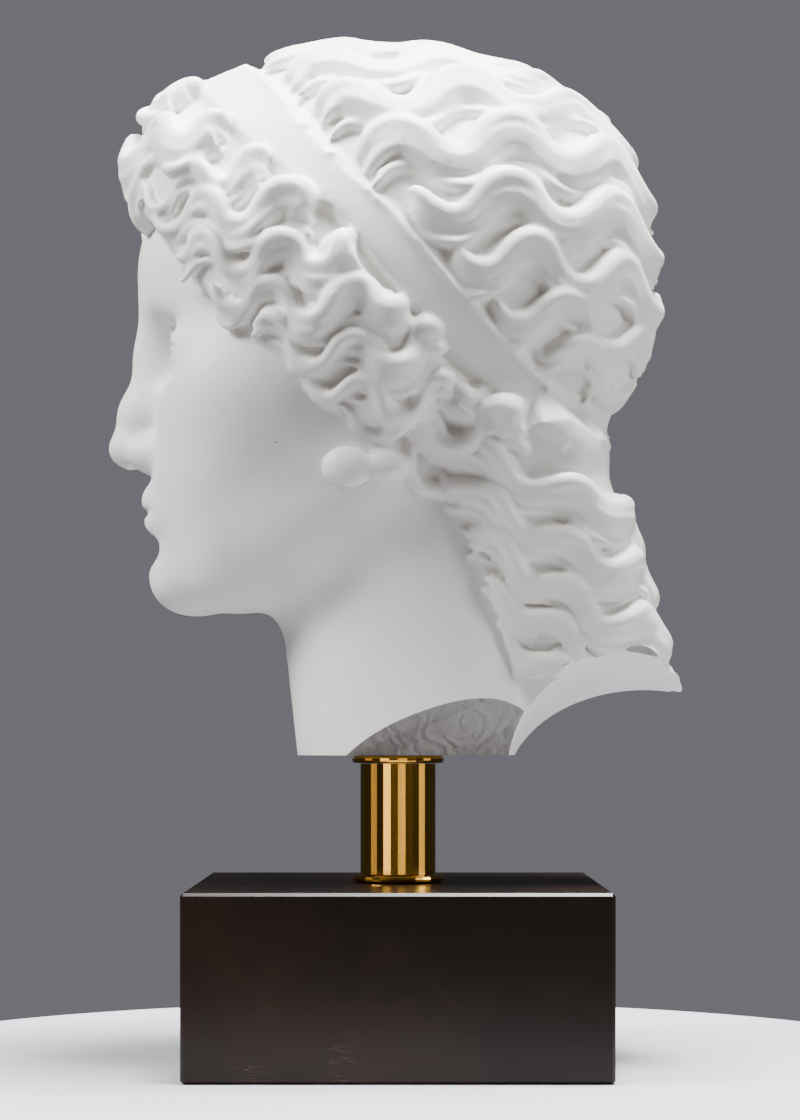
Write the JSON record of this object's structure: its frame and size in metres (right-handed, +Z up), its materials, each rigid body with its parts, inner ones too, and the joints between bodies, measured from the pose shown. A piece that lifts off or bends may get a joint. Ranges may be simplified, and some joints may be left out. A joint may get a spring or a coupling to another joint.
{
  "type": "marble bust",
  "caption": "White cast-marble head of a goddess with waved, banded hair, on a brass column and a dark marble block.",
  "frame": {"origin": "centre of the plinth's underside", "axes": "+Z up, the face looks along -Y, the subject's left side towards +X"},
  "size_m": [0.18, 0.255, 0.454],
  "materials": {
    "white_marble": "satin",
    "brass": "polished",
    "dark_marble": "polished"
  },
  "bodies": {
    "root": {"bust": "white_marble", "upper_collar": "brass", "column": "brass", "lower_collar": "brass", "plinth": "dark_marble"}
  },
  "joints": []
}
